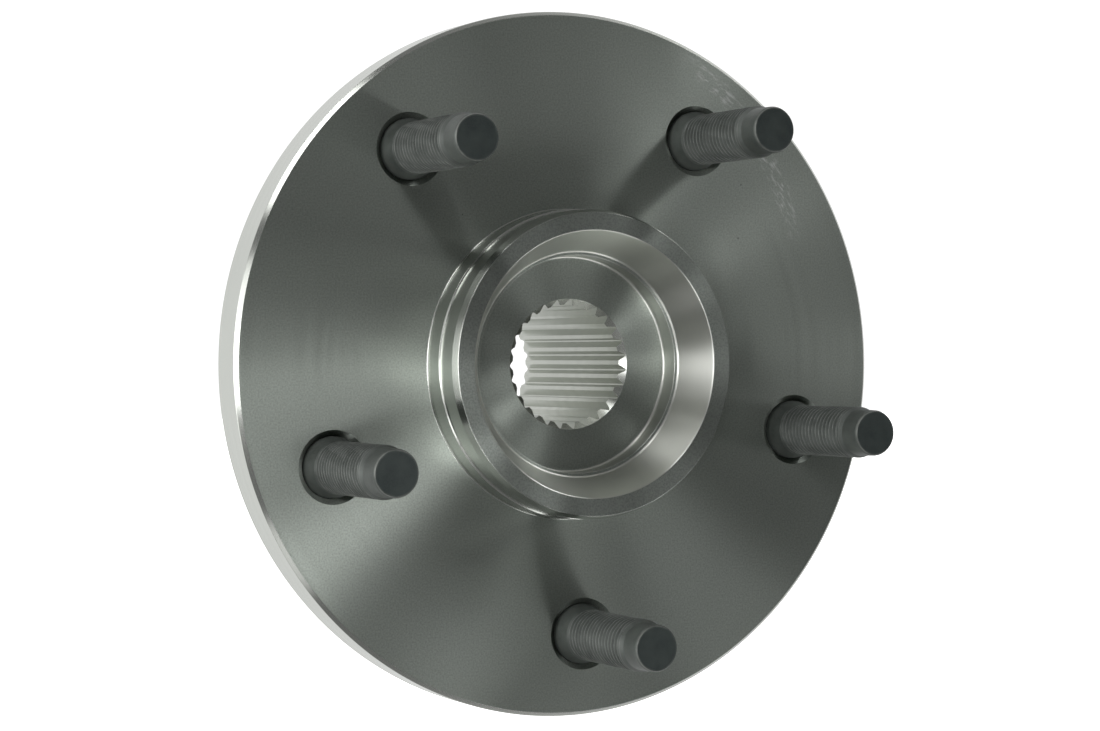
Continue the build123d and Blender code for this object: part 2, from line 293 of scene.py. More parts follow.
def zipped(draft: MeshDraft, inner: Array, outer: Array, finish: Finish) -> None:
    """Close the ring between two loops about the axis whose points lie at different angles.

    The points of both loops are passed in order of angle, and each step of one loop makes a triangle
    with the last point passed on the other.

    Args:
        draft: Draft that gets the triangles.
        inner: Inner loop in order of angle, shape (n, 3).
        outer: Outer loop in order of angle, shape (m, 3).
        finish: Finish of the triangles.
    """
    loops = []
    for loop in (inner, outer):
        angle = np.arctan2(loop[:, 2], loop[:, 0]) % TAU
        first = int(np.argmin(angle))
        loops.append((np.roll(loop, -first, axis=0), np.roll(angle, -first)))
    (inner, inner_angle), (outer, outer_angle) = loops
    inner_count, outer_count = len(inner), len(outer)
    inner_step, outer_step = np.arange(inner_count), np.arange(outer_count)
    outer_before = (np.searchsorted(outer_angle, inner_angle, side="left") - 1) % outer_count
    inner_before = (np.searchsorted(inner_angle, outer_angle, side="right") - 1) % inner_count
    from_inner = np.stack([(inner_step - 1) % inner_count, inner_step, inner_count + outer_before], axis=-1)
    from_outer = np.stack(
        [inner_count + (outer_step - 1) % outer_count, inner_count + outer_step, inner_before], axis=-1
    )
    draft.add(np.concatenate([inner, outer]), np.concatenate([from_inner, from_outer]), finish)


def sector_loop(inner: float, outer: Array, half: float, side_steps: int) -> Array:
    """Border of a ring sector about +X: out along one side, round, in along the other side, back.

    Args:
        inner: Inner radius.
        outer: Outer radius at evenly spaced angles across the sector, shape (n + 1,).
        half: Half of the sector's angle.
        side_steps: Steps along each side.

    Returns:
        Points in X and Z, shape (2 * (n + side_steps), 2).
    """
    arc_steps = len(outer) - 1
    share = np.linspace(0, 1, side_steps, endpoint=False)
    sweep = np.linspace(-half, half, arc_steps, endpoint=False)
    out = inner + (outer[0] - inner) * share
    back = outer[-1] + (inner - outer[-1]) * share
    radius = np.concatenate([out, outer[:-1], back, np.full(arc_steps, inner)])
    angle = np.concatenate([np.full(side_steps, -half), sweep, np.full(side_steps, half), -sweep])
    return np.stack([radius * np.cos(angle), radius * np.sin(angle)], axis=-1)


def holed_sector(border: Array, centre: Array, circles: tuple[float, ...], steps: int) -> Array:
    """Flat grid from circles about a hole's centre out to the border of its sector.

    Every point of the border sends a ray to the centre; the circles cut it. Beyond them, the rows
    lie at a power of the share of the way, so that they widen outwards.

    Args:
        border: Border, shape (n, 2).
        centre: Hole centre.
        circles: Radii that get a row of their own, from the innermost outwards.
        steps: Steps from the last circle to the border.

    Returns:
        Grid in X and Z, shape (rows, n, 2).
    """
    widening = 1.4
    ray = border - centre
    unit = ray / np.linalg.norm(ray, axis=1)[:, None]
    rings = centre + np.array(circles)[:, None, None] * unit
    share = (np.linspace(0, 1, steps + 1)[1:] ** widening)[:, None, None]
    return np.concatenate([rings, rings[-1] + (border - rings[-1]) * share])


def placed(flat: Array, y: Array | float, turn: float) -> Array:
    """Flat grid at given heights, turned about the axis.

    Args:
        flat: Grid in X and Z, shape (rows, n, 2).
        y: Height of the grid or of each row.
        turn: Angle from +X towards +Z.

    Returns:
        Grid, shape (rows, n, 3).
    """
    moved = turned_about_axis(flat.reshape(-1, 2), turn).reshape(flat.shape)
    height = np.broadcast_to(np.reshape(y, (-1, 1)), flat.shape[:2])
    return np.stack([moved[..., 0], height, moved[..., 1]], axis=-1)


def turned_about_axis(points: Array, angle: float) -> Array:
    """Points in X and Z turned about the axis, from +X towards +Z."""
    cos, sin = math.cos(angle), math.sin(angle)
    return points @ np.array([[cos, sin], [-sin, cos]])


# Materials


@dataclass
class Graph:
    """Node tree under construction."""

    tree: bpy.types.NodeTree

    def plug(self, target: Socket, value: object) -> None:
        """Give an input its value, or link it where the value is a socket.

        Args:
            target: The input.
            value: Socket, number, vector or colour.
        """
        if isinstance(value, Socket):
            self.tree.links.new(value, target)
        else:
            target.default_value = value

    def node(self, kind: str, inputs: dict | None = None, **settings: object) -> bpy.types.Node:
        """Add a node.

        Args:
            kind: Node class without the ShaderNode prefix.
            inputs: Values or sockets by input name or number.
            settings: Properties of the node.

        Returns:
            The node.
        """
        made = self.tree.nodes.new("ShaderNode" + kind)
        for key, value in settings.items():
            setattr(made, key, value)
        for key, value in (inputs or {}).items():
            self.plug(made.inputs[key], value)
        return made

    def math(self, operation: str, *values: object) -> Socket:
        """Socket of a Math node over values or sockets."""
        return self.node("Math", dict(enumerate(values)), operation=operation).outputs[0]

    def remap(self, value: Socket, spread: tuple[object, object], low: float, high: float) -> Socket:
        """Stretch a value from one range to another, without leaving it.

        Args:
            value: Socket of the value.
            spread: Start and end of the value's range, numbers or sockets.
            low: Result at the range's start.
            high: Result at the range's end.

        Returns:
            Socket of the result.
        """
        given = {"Value": value, "From Min": spread[0], "From Max": spread[1], "To Min": low, "To Max": high}
        return self.node("MapRange", given).outputs[0]

    def mix(self, factor: Socket, first: object, second: object) -> Socket:
        """Mix two colours.

        Args:
            factor: Socket of the second colour's share.
            first: Colour or socket.
            second: Colour or socket.

        Returns:
            Socket of the mixed colour.
        """
        made = self.node("Mix", data_type="RGBA")
        for number, value in ((0, factor), (6, first), (7, second)):
            self.plug(made.inputs[number], value)
        return made.outputs[2]

    def place(self) -> Socket:
        """Socket of the place on the object."""
        return self.node("TexCoord").outputs["Object"]

    def noise(self, place: Socket, scale: object, detail: float) -> Socket:
        """Socket of a noise's value over a place."""
        return self.node("TexNoise", {"Vector": place, "Scale": scale, "Detail": detail}).outputs[0]

    def noise_along(self, distance: Socket, detail: float) -> Socket:
        """Socket of a noise's value along one distance."""
        inputs = {"W": distance, "Scale": 1.0, "Detail": detail}
        return self.node("TexNoise", inputs, noise_dimensions="1D").outputs[0]

    def surface(self, height: Socket, inputs: dict) -> bpy.types.Node:
        """End a material with its shader, bumped by a height, and its output.

        Args:
            height: Socket of the surface's height in metres.
            inputs: Values or sockets of the shader by name.

        Returns:
            The shader node.
        """
        bump = self.node("Bump", {"Strength": 1.0, "Distance": 1.0, "Height": height})
        shader = self.node("BsdfPrincipled", {**inputs, "Normal": bump.outputs[0]})
        self.node("OutputMaterial", {"Surface": shader.outputs[0]}).is_active_output = True
        return shader


def rgba(color: Color) -> tuple[float, float, float, float]:
    """Colour with full alpha."""
    return (*color, 1.0)


def new_material(name: str) -> tuple[bpy.types.Material, Graph]:
    """Start a material.

    Args:
        name: Its name.

    Returns:
        The material and its empty graph.
    """
    made = bpy.data.materials.new(name)
    made.use_nodes = True
    made.node_tree.nodes.clear()
    return made, Graph(made.node_tree)


def new_group(
    name: str, inputs: dict[str, float], outputs: tuple[str, ...]
) -> tuple[Graph, bpy.types.Node, bpy.types.Node]:
    """Start a shader group with float inputs and outputs.

    Args:
        name: Name of the group.
        inputs: Input names with their defaults.
        outputs: Output names.

    Returns:
        The graph, its input node and its output node.
    """
    tree = bpy.data.node_groups.new(name, "ShaderNodeTree")
    for title, value in inputs.items():
        tree.interface.new_socket(title, in_out="INPUT", socket_type="NodeSocketFloat").default_value = value
    for title in outputs:
        tree.interface.new_socket(title, in_out="OUTPUT", socket_type="NodeSocketFloat")
    return Graph(tree), tree.nodes.new("NodeGroupInput"), tree.nodes.new("NodeGroupOutput")


def turning_marks_group() -> bpy.types.NodeTree:
    """Tool marks of turning: noise along radius plus a share of y, so that they run round the axis.

    Returns:
        The group, with the outputs Marks and Banding.
    """
    axial_share, drift_scale = 0.81, 60.0
    inputs = {"Feed": 3200.0, "Bands": 420.0, "Waver": 0.3}
    graph, given, result = new_group("turning_marks", inputs, ("Marks", "Banding"))
    place = graph.place()
    side = graph.node("SeparateXYZ", {0: place}).outputs
    squares = [graph.math("MULTIPLY", side[number], side[number]) for number in (0, 2)]
    radius = graph.math("SQRT", graph.math("ADD", *squares))
    along = graph.math("ADD", radius, graph.math("MULTIPLY", side[1], axial_share))
    waver = graph.math("MULTIPLY", given.outputs["Waver"], MM)
    wavering = graph.math("MULTIPLY_ADD", graph.noise(place, drift_scale, 1.0), waver, along)
    marks = graph.noise_along(graph.math("MULTIPLY", wavering, given.outputs["Feed"]), 2.0)
    banding = graph.noise_along(graph.math("MULTIPLY", along, given.outputs["Bands"]), 3.0)
    graph.plug(result.inputs["Marks"], marks)
    graph.plug(result.inputs["Banding"], banding)
    return graph.tree


def flecks_group() -> bpy.types.NodeTree:
    """Handling: sparse nicks from a cell pattern, blotches and fine grain from noise.

    Returns:
        The group, with the outputs Nicks, Grain and Blotches.
    """
    bend_scale, bend, left_out = 900.0, 0.03, 0.8
    inputs = {"Nick Scale": 150.0, "Nick Size": 0.03, "Grain Scale": 2500.0, "Blotch Scale": 30.0}
    graph, given, result = new_group("flecks", inputs, ("Nicks", "Grain", "Blotches"))
    place = graph.place()
    pattern = {"Vector": place, "Scale": given.outputs["Nick Scale"], "Randomness": 1.0}
    cells = graph.node("TexVoronoi", pattern).outputs
    spread = graph.math("MULTIPLY_ADD", graph.noise(place, bend_scale, 2.0), bend, cells["Distance"])
    near = graph.math("LESS_THAN", spread, given.outputs["Nick Size"])
    chance = graph.node("SeparateColor", {0: cells["Color"]}).outputs[0]
    picked = graph.math("GREATER_THAN", chance, left_out)
    graph.plug(result.inputs["Nicks"], graph.math("MULTIPLY", near, picked))
    graph.plug(result.inputs["Grain"], graph.noise(place, given.outputs["Grain Scale"], 2.0))
    graph.plug(result.inputs["Blotches"], graph.noise(place, given.outputs["Blotch Scale"], 4.0))
    return graph.tree


def scuffs_group() -> bpy.types.NodeTree:
    """Pale scuffs along an arc that drifts outwards: a band of radius and angle, streaked by noise along it.

    Returns:
        The group, with the output Scuffs.
    """
    streaks_across, streaks_along, streak_range = 1400.0, 26.0, (0.5, 0.66)
    inputs = {"Radius": 0.0745, "Drift": 0.015, "Half Width": 0.0028, "Angle": 0.82, "Half Span": 0.38}
    graph, given, result = new_group("scuffs", inputs, ("Scuffs",))
    side = graph.node("SeparateXYZ", {0: graph.place()}).outputs
    flat = graph.node("CombineXYZ", {0: side[0], 1: side[2]}).outputs[0]
    radius = graph.node("VectorMath", {0: flat}, operation="LENGTH").outputs["Value"]
    angle = graph.math("ARCTAN2", side[2], side[0])
    ahead = graph.math("SUBTRACT", angle, given.outputs["Angle"])
    middle = graph.math("MULTIPLY_ADD", ahead, given.outputs["Drift"], given.outputs["Radius"])
    across = graph.math("ABSOLUTE", graph.math("SUBTRACT", radius, middle))
    along = graph.math("ABSOLUTE", ahead)
    band = graph.math("SUBTRACT", 1.0, graph.math("DIVIDE", across, given.outputs["Half Width"]))
    span = graph.math("SUBTRACT", 1.0, graph.math("DIVIDE", along, given.outputs["Half Span"]))
    inside = graph.math(
        "MULTIPLY", graph.remap(band, (0.0, 0.5), 0.0, 1.0), graph.remap(span, (0.0, 0.4), 0.0, 1.0)
    )
    unrolled = graph.node(
        "CombineXYZ",
        {0: graph.math("MULTIPLY", radius, streaks_across), 1: graph.math("MULTIPLY", angle, streaks_along)},
    ).outputs[0]
    grain = {"Vector": unrolled, "Scale": 1.0, "Detail": 3.0, "Roughness": 0.6}
    streaks = graph.remap(graph.node("TexNoise", grain).outputs[0], streak_range, 0.0, 1.0)
    graph.plug(result.inputs["Scuffs"], graph.math("MULTIPLY", inside, streaks))
    return graph.tree


def worn_edges_group() -> bpy.types.NodeTree:
    """Rubbed edges: the stored edge value above a threshold, broken up by noise.

    Returns:
        The group, with the output Wear.
    """
    graph, given, result = new_group("worn_edges", {"Start": 0.05, "End": 0.25, "Breakup": 400.0}, ("Wear",))
    point = graph.node("Attribute", attribute_name="edge").outputs["Fac"]
    noise = graph.noise(graph.place(), given.outputs["Breakup"], 3.0)
    edge = graph.remap(point, (given.outputs["Start"], given.outputs["End"]), 0.0, 1.0)
    broken = graph.math("MULTIPLY", edge, graph.remap(noise, (0.35, 0.6), 0.2, 1.0))
    graph.plug(result.inputs["Wear"], broken)
    return graph.tree


GROUP_MAKERS = {
    "turning_marks": turning_marks_group,
    "flecks": flecks_group,
    "scuffs": scuffs_group,
    "worn_edges": worn_edges_group,
}
GROUPS: dict[str, bpy.types.NodeTree] = {}


def group_outputs(graph: Graph, name: str, **values: float) -> bpy.types.bpy_prop_collection:
    """Place a shared group in a graph, making the group on its first use.

    Args:
        graph: Graph that gets the group.
        name: One of the names in GROUP_MAKERS.
        values: Inputs by name, with underscores for spaces.

    Returns:
        The outputs of the group's node.
    """
    if name not in GROUPS:
        GROUPS[name] = GROUP_MAKERS[name]()
    made = graph.node("Group", node_tree=GROUPS[name])
    for key, value in values.items():
        graph.plug(made.inputs[key.replace("_", " ")], value)
    return made.outputs


@dataclass(frozen=True)
class SteelFinish:
    """Machined steel: a metal whose tool marks stretch its highlights across them."""

    color: Color
    stain: Color
    roughness: float
    roughness_spread: float = 0.02
    anisotropy: float = 0.0
    feed: float = 3200.0
    mark_height: float = 0.0008 * MM
    banding: float = 0.2
    nick_depth: float = 0.03 * MM
    nick_size: float = 0.03
    grain: float = 0.02
    grain_tone: float = 0.0
    scuffs: float = 0.0
    scuff_color: Color = (0.8, 0.82, 0.8)
    scuff_roughness: float = 0.1
    highlight_turn: float = 0.25
    shade: float = 0.5
    tone_range: Range = (0.35, 0.7)
    band_range: Range = (0.35, 0.65)
    gloss_range: Range = (0.3, 0.7)

    def make(self, name: str) -> bpy.types.Material:
        """Build the material.

        Args:
            name: Name of the material.

        Returns:
            The material.
        """
        made, graph = new_material(name)
        marks = group_outputs(graph, "turning_marks", Feed=self.feed)
        flecks = group_outputs(graph, "flecks", Nick_Size=self.nick_size)
        stain = rgba(self.stain)
        darker = rgba(tuple(self.shade * part for part in self.stain))
        blotches = graph.remap(flecks["Blotches"], self.tone_range, 0.0, 1.0)
        banding = graph.remap(marks["Banding"], self.band_range, 0.0, self.banding)
        grain_tone = graph.remap(flecks["Grain"], self.tone_range, 0.0, self.grain_tone)
        color = graph.mix(banding, graph.mix(blotches, rgba(self.color), stain), stain)
        color = graph.mix(flecks["Nicks"], graph.mix(grain_tone, color, darker), darker)
        low, high = self.roughness - self.roughness_spread, self.roughness + self.roughness_spread
        banded_gloss = graph.remap(marks["Banding"], self.gloss_range, low, high)
        grain = graph.remap(flecks["Grain"], self.gloss_range, -self.grain, self.grain)
        roughness = graph.math("ADD", banded_gloss, grain)
        if self.scuffs:
            scuffed = group_outputs(graph, "scuffs")["Scuffs"]
            color = graph.mix(graph.math("MULTIPLY", scuffed, self.scuffs), color, rgba(self.scuff_color))
            roughness = graph.math("MULTIPLY_ADD", scuffed, self.scuff_roughness, roughness)
        nicks = graph.math("MULTIPLY", flecks["Nicks"], self.nick_depth)
        height = graph.math("SUBTRACT", graph.math("MULTIPLY", marks["Marks"], self.mark_height), nicks)
        shader = graph.surface(
            height,
            {
                "Base Color": color,
                "Metallic": 1.0,
                "Roughness": roughness,
                "Anisotropic": self.anisotropy,
                "Anisotropic Rotation": self.highlight_turn,
            },
        )
        if self.anisotropy:
            tangent = graph.node("Tangent", direction_type="RADIAL", axis="Y").outputs[0]
            graph.plug(shader.inputs["Tangent"], tangent)
        return made


@dataclass(frozen=True)
class CoatedFinish:
    """Matt skin over a base: phosphate, forging scale, rubber or polymer, with worn edges."""

    color: Color
    second: Color
    worn: Color
    roughness: float
    metallic: float = 0.0
    grain_scale: float = 2500.0
    grain_height: float = 0.01 * MM
    wear_start: float = 0.06
    wear_end: float = 0.3
    worn_roughness: float = 0.4
    blotch_scale: float = 220.0
    blotch_range: Range = (0.35, 0.65)
    grain_range: Range = (0.4, 0.7)
    grain_tone: float = 0.6
    gloss_range: Range = (0.3, 0.7)
    gloss_spread: float = 0.06

    def make(self, name: str) -> bpy.types.Material:
        """Build the material.

        Args:
            name: Name of the material.

        Returns:
            The material.
        """
        made, graph = new_material(name)
        flecks = group_outputs(graph, "flecks", Grain_Scale=self.grain_scale, Blotch_Scale=self.blotch_scale)
        wear = group_outputs(graph, "worn_edges", Start=self.wear_start, End=self.wear_end)["Wear"]
        second = rgba(self.second)
        blotches = graph.remap(flecks["Blotches"], self.blotch_range, 0.0, 1.0)
        grain_tone = graph.remap(flecks["Grain"], self.grain_range, 0.0, self.grain_tone)
        grained = graph.mix(grain_tone, graph.mix(blotches, rgba(self.color), second), second)
        rubbed_gloss = graph.remap(wear, (0.0, 1.0), self.roughness, self.worn_roughness)
        grain = graph.remap(flecks["Grain"], self.gloss_range, -self.gloss_spread, self.gloss_spread)
        graph.surface(
            graph.math("MULTIPLY", flecks["Grain"], self.grain_height),
            {
                "Base Color": graph.mix(wear, grained, rgba(self.worn)),
                "Metallic": self.metallic,
                "Roughness": graph.math("ADD", rubbed_gloss, grain),
            },
        )
        return made


def machined(color: Color, stain: Color, roughness: float, **more: float) -> SteelFinish:
    """Steel turned or bored with a fine feed: low marks, shallow nicks and hardly any grain.

    Args:
        color: Colour of the steel.
        stain: Colour of its stains.
        roughness: Roughness across the marks.
        more: Other fields of the finish.

    Returns:
        The finish.
    """
    return SteelFinish(
        color,
        stain,
        roughness,
        roughness_spread=0.01,
        feed=4200.0,
        mark_height=0.0003 * MM,
        nick_depth=0.01 * MM,
        grain=0.004,
        **more,
    )


def faced(color: Color, stain: Color, **more: float) -> SteelFinish:
    """Steel faced across the axis: coarse marks that draw the highlights out into radial fans.

    Args:
        color: Colour of the steel.
        stain: Colour of its stains.
        more: Other fields of the finish.

    Returns:
        The finish.
    """
    return SteelFinish(
        color, stain, 0.37, anisotropy=1.0, feed=2600.0, nick_size=0.05, grain_tone=0.5, **more
    )


FINISHES: dict[Finish, SteelFinish | CoatedFinish] = {
    Finish.FACED: faced((0.465, 0.505, 0.462), (0.435, 0.475, 0.432), scuffs=0.7),
    # The pilot's end: the same faced steel painted darker, as painted shade.
    Finish.END_FACED_PAINTED_SHADE: faced((0.37, 0.40, 0.37), (0.345, 0.375, 0.345)),
    Finish.TURNED: machined((0.64, 0.66, 0.62), (0.60, 0.62, 0.58), 0.21, anisotropy=0.75),
    Finish.BORED: machined((0.66, 0.67, 0.63), (0.62, 0.63, 0.59), 0.29, anisotropy=0.8),
    Finish.BROACHED: SteelFinish(
        (0.58, 0.60, 0.55), (0.48, 0.50, 0.46), 0.32, feed=900.0, mark_height=0.0004 * MM
    ),
    Finish.PHOSPHATE: CoatedFinish(
        (0.060, 0.068, 0.062), (0.095, 0.105, 0.097), (0.21, 0.22, 0.205), 0.5, metallic=0.45
    ),
    Finish.STUD_END: CoatedFinish(
        (0.025, 0.034, 0.033), (0.044, 0.055, 0.052), (0.12, 0.13, 0.12), 0.55, metallic=0.3, wear_start=0.1
    ),
    Finish.FORGED: CoatedFinish(
        (0.15, 0.155, 0.155),
        (0.21, 0.215, 0.21),
        (0.42, 0.43, 0.42),
        0.5,
        metallic=0.8,
        grain_scale=900.0,
        grain_height=0.06 * MM,
    ),
    Finish.GROUND: SteelFinish((0.62, 0.63, 0.63), (0.58, 0.59, 0.59), 0.22, anisotropy=0.5),
    Finish.LAPPED: SteelFinish(
        (0.74, 0.75, 0.76), (0.72, 0.73, 0.74), 0.06, roughness_spread=0.01, mark_height=0.0002 * MM
    ),
    Finish.SHEET: SteelFinish((0.55, 0.56, 0.56), (0.48, 0.49, 0.49), 0.3, feed=1500.0),
    Finish.RUBBER: CoatedFinish((0.016, 0.016, 0.017), (0.028, 0.028, 0.029), (0.05, 0.05, 0.05), 0.6),
    Finish.POLYMER: CoatedFinish((0.03, 0.03, 0.03), (0.05, 0.05, 0.05), (0.09, 0.09, 0.09), 0.45),
}
MATERIALS: dict[Finish, bpy.types.Material] = {}


def material(finish: Finish) -> bpy.types.Material:
    """Material of a finish, made on its first use.

    Args:
        finish: The finish.

    Returns:
        Its material.
    """
    if finish not in MATERIALS:
        MATERIALS[finish] = FINISHES[finish].make(finish.value)
    return MATERIALS[finish]


def dress_node(node: str, finish: Finish) -> None:
    """Give a carried-over CAD node its finish.

    Args:
        node: Name of the node.
        finish: The finish.
    """
    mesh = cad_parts[node].data
    mesh.materials.clear()
    mesh.materials.append(material(finish))
    LOG.info("%s: CAD node in %s", node, finish.value)


# Pieces


@dataclass
class HubForging:
    """Flange, pilot, nut recess, splined bore, outboard raceway and spindle in one forging."""

    flange_radius: float = 82.55 * MM
    flange_thickness: float = 12.1 * MM
    flange_chamfer: float = 1.0 * MM
    pilot_length: float = 14.5 * MM
    wheel_pilot: float = 35.7 * MM
    brake_pilot: float = 36.1 * MM
    brake_pilot_length: float = 6.4 * MM
    root_radius: float = 0.5 * MM
    recess_mouth: float = 30.8 * MM
    recess_cone: float = 26.4 * MM
    recess_cone_length: float = 9.0 * MM
    recess_wall: float = 25.4 * MM
    recess_lip: float = 0.35 * MM
    recess_lip_rise: float = 0.3 * MM
    seat_margin: float = 0.6 * MM
    pilot_taper: float = 0.75 * MM
    pilot_taper_length: float = 2.0 * MM
    brake_pilot_edge: float = 0.2 * MM
    spline_major: float = 15.2 * MM
    spline_minor: float = 13.9 * MM
    spline_teeth: int = 27
    spline_start: float = math.radians(-5.2)
    space_mouth: float = 1.12 * MM
    space_root: float = 0.18 * MM
    mouth_chamfer: float = 1.43 * MM
    end_chamfer: float = 2.3 * MM
    hub_end: float = 54.7125 * MM
    stud_circle: float = 63.5 * MM
    stud_start: float = math.radians(-14.61)
    hole_radius: float = 7.15 * MM
    countersink: float = 8.44 * MM
    countersink_depth: float = 1.3 * MM
    rim_bevel: float = 0.08 * MM
    shoulder: float = 27.496 * MM
    fillet: float = 4.0 * MM
    race_root: float = 23.34 * MM
    race_start: float = 19.06 * MM
    race_centre: float = 24.61 * MM
    race_radius: float = 5.78 * MM
    race_sweep: float = math.radians(73.7)
    middle: float = 33.256 * MM
    spindle: float = 19.79 * MM
    inner_ring_end: float = 52.0125 * MM
    nose: float = 24.5 * MM
    nose_margin: float = 0.4 * MM
    holes: int = 5
    segments: int = 360

    def tooth_loop(self) -> Array:
        """Section of the splined bore: tip arcs, hardly bulged flanks and narrow roots.

        Each tooth space is a wedge about its root; its points turn with the number of the space.

        Returns:
            Points in X and Z in order of angle, shape (teeth * points, 2).
        """
        bulge = 0.9
        flank = np.linspace(0, 1, 5)
        depth = self.spline_major - math.sqrt(self.spline_minor**2 - self.space_mouth**2)
        x = self.spline_major - depth * flank
        z = self.space_root + (self.space_mouth - self.space_root) * flank**bulge
        half = math.pi / self.spline_teeth
        edge = math.asin(self.space_mouth / self.spline_minor)
        tip = np.linspace(edge, half, 4)[1:]
        upper = np.concatenate([np.stack([x, z], axis=-1), circled((0.0, 0.0), self.spline_minor, tip)])
        lower = upper[-2::-1] * np.array([1, -1])
        loop = np.concatenate([lower, upper])
        turns = self.spline_start + even_angles(self.spline_teeth)
        return np.concatenate([turned_about_axis(loop, turn) for turn in turns])

    def add_bore(self, draft: MeshDraft) -> tuple[Array, Array]:
        """Add the splined wall and its conical mouths.

        The wall starts and ends where a 45 degree cone meets each point of the section.

        Args:
            draft: Draft that gets the surfaces.

        Returns:
            The outboard and the inboard edge loop of the mouths, each of shape (n, 3).
        """
        loop = self.tooth_loop()
        radius = np.linalg.norm(loop, axis=1)
        unit = loop / radius[:, None]
        mouth = self.spline_minor + self.mouth_chamfer
        end = self.spline_minor + self.end_chamfer
        start_y = mouth - radius
        end_y = self.hub_end - (end - radius)
        share = np.linspace(0, 1, 7)[:, None]
        y = start_y + (end_y - start_y) * share
        wall = np.stack([loop[:, 0] + 0 * share, y, loop[:, 1] + 0 * share], axis=-1)
        draft.grid(wall, Finish.BROACHED)
        out_edge = np.stack([mouth * unit[:, 0], 0 * radius, mouth * unit[:, 1]], axis=-1)
        in_edge = np.stack([end * unit[:, 0], 0 * radius + self.hub_end, end * unit[:, 1]], axis=-1)
        draft.grid(np.stack([out_edge, wall[0]]), Finish.TURNED)
        draft.grid(np.stack([wall[-1], in_edge]), Finish.TURNED)
        return out_edge, in_edge

    def add_turned(self, draft: MeshDraft, rows: Array) -> None:
        """Add a turned grid, in stretches by the finish that its direction and place ask for.

        Where the profile runs across the axis, at a slope of over 3 in radius to 1 in y, it is faced,
        with a darker copy of the faced finish on the pilot's end as painted shade. Elsewhere it is bored in
        the recess, else turned.

        Args:
            draft: Draft that gets the surfaces.
            rows: Grid of the surface, shape (rows, angles, 3).
        """
        slope = 3
        recess_limit = self.recess_mouth + 0.4 * MM
        end_limit = 0.5 * MM - self.pilot_length
        radius, y = np.hypot(rows[:, 0, 0], rows[:, 0, 2]), rows[:, 0, 1]
        faced = np.abs(np.diff(radius)) > slope * np.abs(np.diff(y))
        starts = np.concatenate([[0], np.flatnonzero(np.diff(faced)) + 1, [len(faced)]])
        for first, last in zip(starts[:-1], starts[1:]):
            along = Finish.BORED if radius[first] < recess_limit else Finish.TURNED
            # The pilot's end gets the darker copy of the faced finish, which is painted shade.
            across = Finish.END_FACED_PAINTED_SHADE if y[first] < end_limit else Finish.FACED
            draft.grid(rows[first : last + 1], across if faced[first] else along)

    def add_face(self, draft: MeshDraft, y: float, hole: float, finish: Finish) -> None:
        """Add one face of the flange with a hole at each stud.

        Args:
            draft: Draft that gets the surface.
            y: Plane of the face.
            hole: Radius of the holes.
            finish: Finish of the face.
        """
        flat = holed_sector(self.sector_border(), np.array([self.stud_circle, 0.0]), (hole,), 8)
        for index in range(self.holes):
            draft.grid(placed(flat, y, self.stud_angle(index)), finish)

    def sector_border(self) -> Array:
        """Border of one stud's sector of the flange faces.

        Returns:
            Points in X and Z about +X, shape (n, 2).
        """
        steps = self.segments // self.holes
        outer = np.full(steps + 1, self.flange_radius - self.flange_chamfer)
        return sector_loop(self.brake_pilot + self.root_radius, outer, math.pi / self.holes, 18)

    def add_holes(self, draft: MeshDraft) -> None:
        """Add the countersink and the wall of each stud hole, at the angles of the faces' grids.

        Args:
            draft: Draft that gets the surfaces.
        """
        ray = self.sector_border() - np.array([self.stud_circle, 0.0])
        angle = np.arctan2(ray[:, 1], ray[:, 0])
        profile = np.array(
            [
                [self.countersink, 0.0],
                [self.hole_radius, self.countersink_depth],
                [self.hole_radius, self.flange_thickness / 2],
                [self.hole_radius, self.flange_thickness],
            ]
        )
        for index in range(self.holes):
            turn = self.stud_angle(index)
            spot = (self.stud_circle * math.cos(turn), self.stud_circle * math.sin(turn))
            draft.grid(turned(profile, angle + turn, spot), Finish.FACED)

    def stud_angle(self, index: int) -> float:
        """Angle of a stud, from +X towards +Z."""
        return self.stud_start + index * TAU / self.holes

    def front_outline(self) -> Array:
        """Nut seat, recess, pilot end, wheel pilot and brake pilot.

        Returns:
            Points as (radius, y), shape (n, 2).
        """
        cone_end = -self.pilot_length + self.recess_cone_length
        return outline(
            (self.spline_minor + self.mouth_chamfer + self.seat_margin, 0, 0),
            (self.recess_wall, 0, 0.8 * MM),
            (self.recess_wall, cone_end + self.recess_lip, 0.12 * MM),
            (self.recess_cone - self.recess_lip, cone_end + self.recess_lip_rise, 0.1 * MM),
            (self.recess_cone, cone_end, 0.15 * MM),
            (self.recess_mouth, -self.pilot_length, 0.35 * MM),
            (self.wheel_pilot - self.pilot_taper, -self.pilot_length, 0.12 * MM),
            (self.wheel_pilot, -self.pilot_length + self.pilot_taper_length, 0.3 * MM),
            (self.wheel_pilot, -self.brake_pilot_length, 0.08 * MM),
            (self.brake_pilot, -self.brake_pilot_length + self.brake_pilot_edge, 0.1 * MM),
            (self.brake_pilot, 0, self.root_radius),
            (self.brake_pilot + self.root_radius, 0, 0),
        )

    def rim_outline(self) -> Array:
        """Edge of the flange from its front face to its back face.

        Returns:
            Points as (radius, y), shape (n, 2).
        """
        inner = self.flange_radius - self.flange_chamfer
        return outline(
            (inner, 0, 0),
            (inner + self.rim_bevel, 0, 0.05 * MM),
            (self.flange_radius, self.flange_chamfer, 0.25 * MM),
            (self.flange_radius, self.flange_thickness - self.flange_chamfer, 0.25 * MM),
            (inner + self.rim_bevel, self.flange_thickness, 0.05 * MM),
            (inner, self.flange_thickness, 0),
        )

